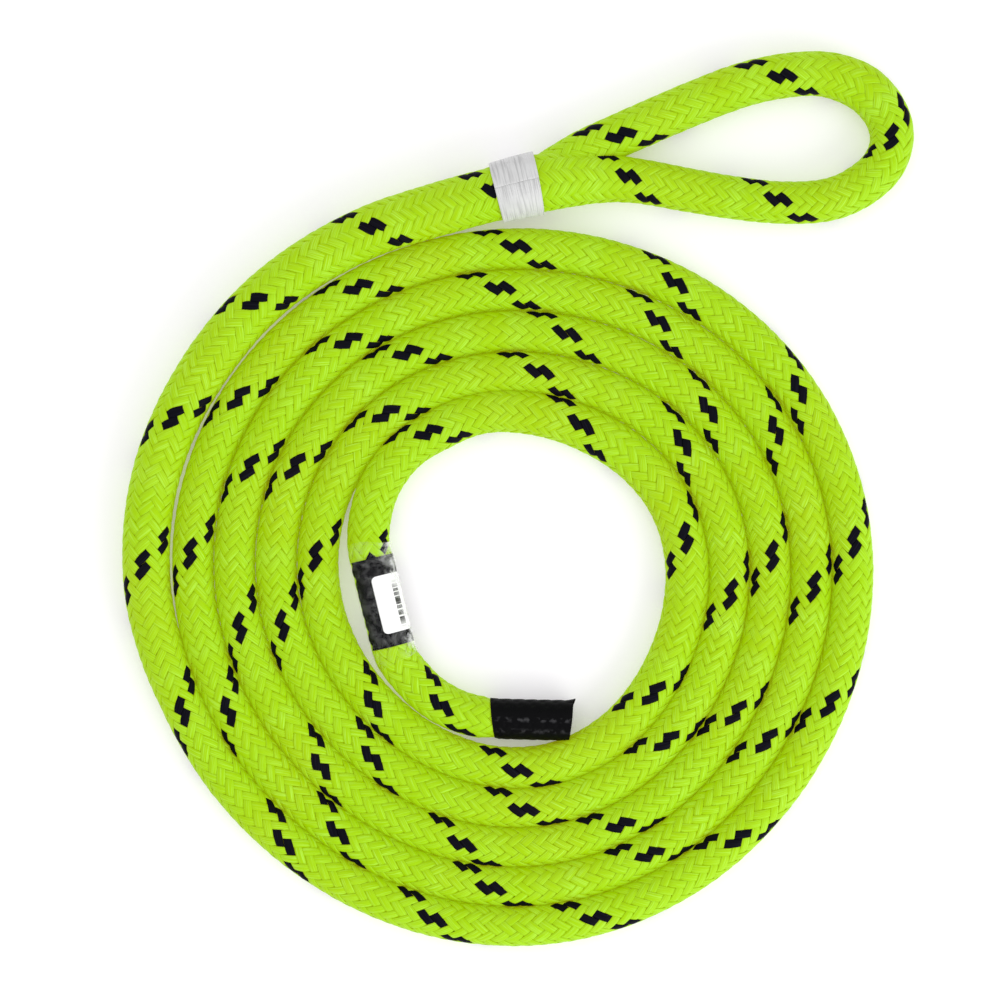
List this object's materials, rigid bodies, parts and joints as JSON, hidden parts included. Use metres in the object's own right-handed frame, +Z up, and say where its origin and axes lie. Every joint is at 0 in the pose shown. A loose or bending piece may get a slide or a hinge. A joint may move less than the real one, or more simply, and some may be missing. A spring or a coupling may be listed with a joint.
{
  "type": "spliced-eye rope sling",
  "caption": "Double-braid rope sling laid in a flat spiral coil, with a taped spliced eye at one end and a heat-shrink capped, labelled tail at the other.",
  "frame": {"origin": "middle of the coiled sling's bounding box in plan, on the surface that it lies on", "axes": "+Z up out of the coil's plane, +Y along the longest extent, from the coil towards the eye, +X the way the eye points"},
  "size_m": [0.3099, 0.3508, 0.0237],
  "materials": {
    "cover": "braided lime polyester with a black tracer pair",
    "core": "braided undyed polyester",
    "tape": "woven light grey tape",
    "label": "black printed film",
    "sticker": "white label stock",
    "sleeve": "clear heat-shrink film, slightly frosted",
    "shrink_cap": "black heat-shrink tube, satin",
    "fused": "melted rope fibre"
  },
  "bodies": {
    "root": {"coil_cover": "cover", "coil_core": "core", "tail_cover": "cover", "tail_core": "core", "bury_cover": "cover", "bury_core": "core", "buried_tail": "core", "throat_cover": "cover", "throat_core": "core", "eye_cover": "cover", "eye_core": "core", "whipping_tape": "tape", "whipping_tape_end": "tape", "label_wrap": "label", "label_sticker": "sticker", "clear_sleeve": "sleeve", "end_cap": "shrink_cap", "fused_end": "fused"}
  },
  "joints": []
}
